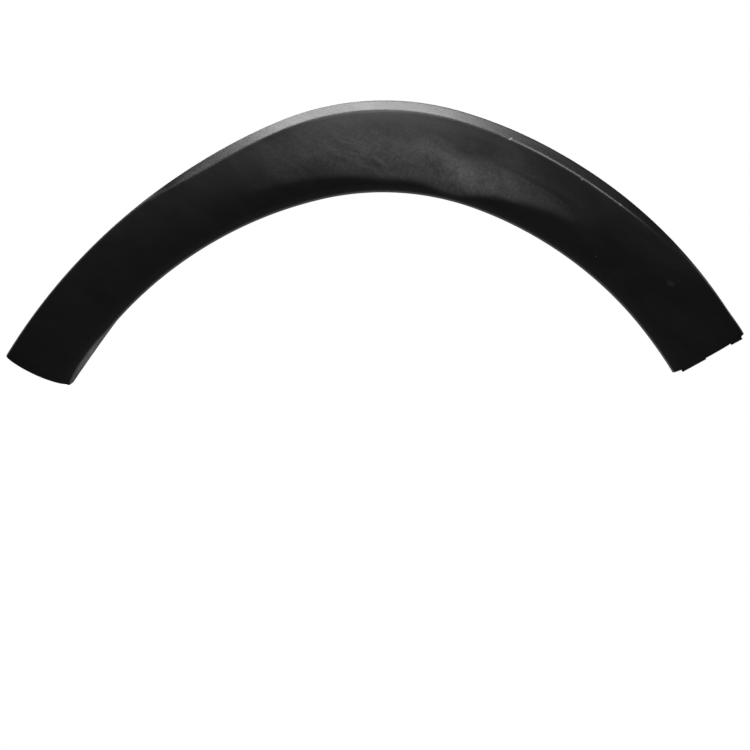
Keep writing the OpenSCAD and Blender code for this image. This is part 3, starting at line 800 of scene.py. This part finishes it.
def add_tower_ribs(bm):
    """Fan of ribs from the back of a tower, and the arm from its side."""
    half_w, half_l = TOWER_W / 2, TOWER_L / 2
    for t, v, twist, fan, arm in TOWERS:
        at = tower_frame(t, v, twist)[1]
        if fan:
            for x in FAN_SPOTS:
                slab(bm, [at(x * half_w, half_l - TOWER_WALL / 2),
                          at(x * half_w * FAN_SPREAD, half_l + FAN_REACH * fan)], RIB_DROP)
        if arm:
            slab(bm, [at(half_w - TOWER_WALL / 2, half_l / 2),
                      at(TOWER_W * arm[0], TOWER_L * arm[1])], RIB_DROP)


def add_channel(bm):
    """Channel rib, and the small bridges between it and the rim that carry the tapes."""
    def from_edge(t, a):
        return outer_at(t) + across(t) * a

    def spread(a, b, pitch):
        return evenly(a, b, round((b - a) * LEG_LEN / pitch))

    ceiling = TAPE_T + TAPE_GAP
    slab(bm, [from_edge(t, CHANNEL_W) for t in evenly(*CHANNEL_RUN, CHANNEL_STEPS)], ceiling,
         CHANNEL_RIB_T, SMALL_BEVEL)
    for t in (spread(*OPEN_STRETCH, OPEN_PITCH)
              + spread(BRIDGED[0], OPEN_STRETCH[0], BRIDGE_PITCH)[:-1]
              + spread(OPEN_STRETCH[1], BRIDGED[1], BRIDGE_PITCH)[1:]):
        slab(bm, [from_edge(t, BRIDGE_FOOT), from_edge(t, CHANNEL_W - CHANNEL_RIB_T / 2)],
             ceiling, RIB_T, SMALL_BEVEL)


def make_ribs():
    """All ribs between the shell and the body panel."""
    bm = bmesh.new()
    for paths, drop in ((RIBS, RIB_DROP), (LOW_RIBS, LOW_RIB_DROP)):
        for path in paths:
            slab(bm, [band_at(*place) for place in path], drop)
    add_tower_ribs(bm)
    add_channel(bm)
    return new_object("trim_ribs", bm, PLASTIC)


def roof_plan():
    """Outline of a tower's roof with its keyhole slot: a round neck hole and a flared mouth."""
    half_w, half_l, r, mouth = TOWER_W / 2, TOWER_L / 2, NECK_HOLE / 2, SLOT_MOUTH / 2
    touch = acos(r / hypot(mouth, TOWER_L)) - atan2(TOWER_L, mouth)
    side_x, side_y = r * cos(touch), r * sin(touch)
    slot_w = side_x + (mouth - side_x) * (side_y + half_l) / (side_y + TOWER_L)
    arc = [(-r * cos(q), r * sin(q)) for q in evenly(touch, pi - touch, SLOT_STEPS)]
    return ([(-half_w, half_l), (-half_w, -half_l), (-slot_w, -half_l)] + arc
            + [(slot_w, -half_l), (half_w, -half_l), (half_w, half_l)])


def make_towers():
    """Three-walled towers with a roof that has a keyhole slot, open towards the inner edge."""
    bm = bmesh.new()
    plan = roof_plan()
    n = len(plan)
    for t, v, twist, _, _ in TOWERS:
        p, at = tower_frame(t, v, twist)
        top, low = [[bm.verts.new(world(at(*q), depth + lift(p))) for q in plan]
                    for depth in (ROOF_DROP, ROOF_DROP + ROOF_T)]
        bm.faces.new(top)
        bm.faces.new(list(reversed(low)))
        rim = []
        for k in range(n):
            bm.faces.new((top[k], low[k], low[(k + 1) % n], top[(k + 1) % n]))
            rim.append(bm.edges.get((top[k], top[(k + 1) % n])))
        bmesh.ops.bevel(bm, geom=rim, offset=RIB_BEVEL * MM, segments=2, affect="EDGES",
                        profile=0.5)
    x, y, front = (TOWER_W - TOWER_WALL) / 2, (TOWER_L - TOWER_WALL) / 2, TOWER_FRONT - TOWER_L / 2
    for t, v, twist, _, _ in TOWERS:
        p, at = tower_frame(t, v, twist)
        for wall in ([(-x, front), (-x, y)], [(x, front), (x, y)], [(-x, y), (x, y)]):
            slab(bm, [at(*q) for q in wall], RIB_DROP, TOWER_WALL, TOWER_BEVEL,
                 fixed=ROOF_DROP + lift(p) + ROOF_SINK)
    return new_object("trim_towers", bm, PLASTIC)


def make_lap_tongue():
    """Stepped tongue that runs on from the wall past the right end."""
    bm = bmesh.new()
    rows, out, root = [], along(1), -WALL / 2
    for v_from, v_to, share in LAP_STEPS:
        tip = LAP_REACH * share
        profile = ((root, 0), (tip - LAP_EDGE, 0), (tip, LAP_EDGE), (tip, LAP_T - LAP_EDGE),
                   (tip - LAP_EDGE, LAP_T), (root, LAP_T))
        for v in evenly(v_from, v_to, LAP_POINTS):
            top = face_at(1, v * band_w(1)) - WALL - LAP_GAP
            places = [(band_at(1, v) + out * reach, drop) for reach, drop in profile]
            rows.append([world(p, top - drop + lift(p)) for p, drop in places])
    capped_grid(bm, rows)
    return new_object("trim_lap_tongue", bm, PLASTIC)


def tab_section(t, cut):
    """Section of the hook tab in the middle of the flange's wall. cut is the share of the
    flange's height that the rounded tip leaves out."""
    line = inset_line(show_line(t, COARSE), WALL / 2)
    root, lip = line[-FLANGE_POINTS - 1], Vector((line[-2][0], LIP_GAP))
    foot = lip.lerp(root, cut)
    up = (root - lip).normalized()
    side = Vector((up[1], -up[0])) * (HOOK_T / 2)
    edge = up * HOOK_EDGE
    return [root - side, foot + edge - side, foot - side * HOOK_FLAT, foot + side * HOOK_FLAT,
            foot + edge + side, root + side]


def make_hook_tab():
    """Tab with which the flared inner flange runs on past the left end, to a rounded tip."""
    bm = bmesh.new()
    reach = HOOK_REACH / run_of(INNER, -1)
    places = [(HOOK_ROOT, HOOK_CUT)]
    places += [(-1 - reach * sin(radians(a)), HOOK_CUT + HOOK_TIP_CUT * (1 - cos(radians(a))))
               for a in HOOK_TURNS]
    capped_grid(bm, [[in_space(t, s) for s in tab_section(t, cut)] for t, cut in places])
    return new_object("trim_hook_tab", bm, PLASTIC, smooth_angle=40)


def make_tape(name, run, a_from, width, material, node):
    """Foam strip with softly rounded edges that wander a little."""
    bm = bmesh.new()
    rows = []
    n = max(TAPE_LEAST, round(abs(run[1] - run[0]) * TAPE_STEPS))
    for i, t in enumerate(evenly(*run, n)):
        wander = noise.noise(Vector((t * TAPE_WAVES, a_from, 0))) * TAPE_WANDER
        a, b = a_from + TAPE_SIDE + wander / 2, a_from + width - TAPE_SIDE + wander
        top = TAPE_GAP + (TAPE_EDGE if i in (0, n) else 0)
        ring = [(a, TAPE_EDGE), (a + TAPE_EDGE, top), (b - TAPE_EDGE, top), (b, TAPE_EDGE),
                (b, TAPE_T), (a, TAPE_T)]
        rows.append([in_space(t, q) for q in ring])
    capped_grid(bm, rows)
    obj = new_object(name, bm, material, smooth_angle=40)
    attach(obj, "root")
    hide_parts(node)
    return obj


def paint(obj, top, film_and_painted_light):
    """Dust on what faces the body panel, and film that is painted light lifting shaded faces, as
    attributes for the plastic's shader.
    """
    dust, painted_light_and_haze = new_attribute(obj, "dust"), new_attribute(obj, "painted_light_and_haze")
    for vert in obj.data.vertices:
        dust[vert.index].value = top * smooth(*DUST_FACING, vert.normal[1])
        # the film here is painted light that lifts shaded faces
        painted_light_and_haze[vert.index].value = film_and_painted_light


# Pieces of the moulding, with the dust on top of them and the film, which is painted light on
# their shaded faces. The shell has its own.
for obj, top, film_and_painted_light in ((make_shell(), 0, 0), (make_end_walls(), 0.7, 0.5), (make_ribs(), 1.6, 0),
                       (make_towers(), 1.2, 0), (make_lap_tongue(), 0.5, 0.7),
                       (make_hook_tab(), 0.5, 0.4)):
    if top:
        paint(obj, top, film_and_painted_light)
    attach(obj, "root")
    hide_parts("trim_moulding")

light_tape = make_tape("foam_tape_light", LIGHT_TAPE, LIGHT_TAPE_IN, LIGHT_TAPE_W, LIGHT_FOAM,
                       "light_tape")
for k, run in enumerate(DARK_TAPES, 1):
    strip = make_tape("foam_tape_dark_%d" % k, run, CHANNEL_W + CHANNEL_RIB_T / 2 - DARK_TAPE_W,
                      DARK_TAPE_W, DARK_FOAM, "dark_tape_%d" % k)

for k in range(1, CLIPS + 1):
    clip = frame["nodes"]["clip_%d" % k]
    clip.data.materials.clear()
    clip.data.materials.append(NYLON)
    clip.data.set_sharp_from_angle(angle=radians(30))


# Stage, lights and camera, in metres

FLOOR_Z, FLOOR_HALF = -0.3163, 20
FLOOR_GREY, FLOOR_LIFT, FLOOR_FADE = (0.11, 0.11, 0.11, 1), 0.89, (0.6, 1.6)

# Grey of the room, and brightness of the white ring behind the object that its gloss shows
ROOM, RING = (0.035, 0.035, 0.035, 1), 0.4
# Edges of the ring as spans of a direction's y, with what each rises to: it comes in towards the
# back and goes out again straight behind the object
RING_EDGES = (((0.5, 0.62), RING), ((0.93, 0.85), 1))

# Lights as (name, place, target, size, watts)
LIGHTS = [("top", (-0.1, -0.3, 1.4), (-0.04, -0.02, 0), (1.56, 0.45), 39),
          ("front", (0, -1.3, 1.15), (0, 0, -0.05), (0.6, 0.5), 6),
          ("side", (0.93, -0.75, 1.14), (0.2, 0, -0.1), (0.2, 0.2), 2),
          ("back", (0, 1.5, 1.1), (0, 0, -0.1), (1.6, 0.8), 34)]

# Side of the picture and width of the trim in it in pixels, the trim's width in millimetres, the
# camera's sensor in millimetres and its place in metres
PICTURE_PX, TRIM_PX, TRIM_W, SENSOR = 750, 737.7, 900, 36
CAMERA_X, CAMERA_Z, DISTANCE = 0.0105, -0.3035, 20


def make_floor():
    """Pale floor that shows white to the camera wherever nothing shades it."""
    bm = bmesh.new()
    ends = (-FLOOR_HALF, FLOOR_HALF)
    grid(bm, [[Vector((x, y, FLOOR_Z)) for x in ends] for y in ends])
    mat, bsdf, nodes, here = new_material("pale_floor")
    glow = nodes.ranged(nodes.length(here), FLOOR_FADE, (FLOOR_LIFT, 1))
    to_camera = nodes.add("LightPath").outputs["Is Camera Ray"]
    nodes.put(bsdf, {"Base Color": FLOOR_GREY, "Roughness": 0.9, "Specular IOR Level": 0.2,
                     "Emission Color": WHITE,
                     "Emission Strength": nodes.math("MULTIPLY", glow, to_camera)})
    new_object("floor", bm, mat)


def make_world():
    """Dim room for the light on the object, white to the camera and in grazing reflections of
    what stands behind the object."""
    studio = bpy.data.worlds.new("studio")
    bpy.context.scene.world = studio
    studio.use_nodes = True
    studio.node_tree.nodes.clear()
    nodes = Nodes(studio.node_tree)
    dim = nodes.add("Background", Color=ROOM).outputs[0]
    white = nodes.add("Background", Color=WHITE).outputs[0]
    split = nodes.add("SeparateXYZ")
    nodes.put(split, {0: nodes.add("TexCoord").outputs["Generated"]})
    ramps = [nodes.ranged(split.outputs["Y"], span, (0, full)) for span, full in RING_EDGES]
    path = nodes.add("LightPath").outputs
    gloss = nodes.math("MAXIMUM", path["Is Glossy Ray"], path["Is Transmission Ray"])
    gloss = nodes.math("MULTIPLY", gloss, nodes.math("MULTIPLY", *ramps))
    shown = nodes.add("MixShader")
    nodes.put(shown, {0: nodes.math("MAXIMUM", gloss, path["Is Camera Ray"]), 1: dim, 2: white})
    nodes.add("OutputWorld", Surface=shown.outputs[0])


def add_light(name, where, target, size, power):
    light = bpy.data.lights.new(name, "AREA")
    light.shape = "RECTANGLE"
    light.size, light.size_y = size
    light.energy = power
    obj = bpy.data.objects.new(name, light)
    bpy.context.collection.objects.link(obj)
    obj.location = where
    obj.rotation_mode = "QUATERNION"
    obj.rotation_quaternion = (Vector(target) - Vector(where)).to_track_quat("-Z", "Y")


def make_camera():
    """Camera square on to the show face, from so far that the picture is nearly parallel."""
    cam = bpy.data.cameras.new("camera")
    camera = bpy.data.objects.new("camera", cam)
    bpy.context.collection.objects.link(camera)
    cam.sensor_width = SENSOR
    cam.lens = SENSOR * DISTANCE / (PICTURE_PX * TRIM_W / TRIM_PX * MM)
    camera.location = (CAMERA_X, -DISTANCE, CAMERA_Z)
    camera.rotation_euler = (pi / 2, 0, 0)
    bpy.context.scene.camera = camera


make_floor()
make_world()
for settings in LIGHTS:
    add_light(*settings)
make_camera()
bpy.context.scene.view_settings.view_transform = "Standard"
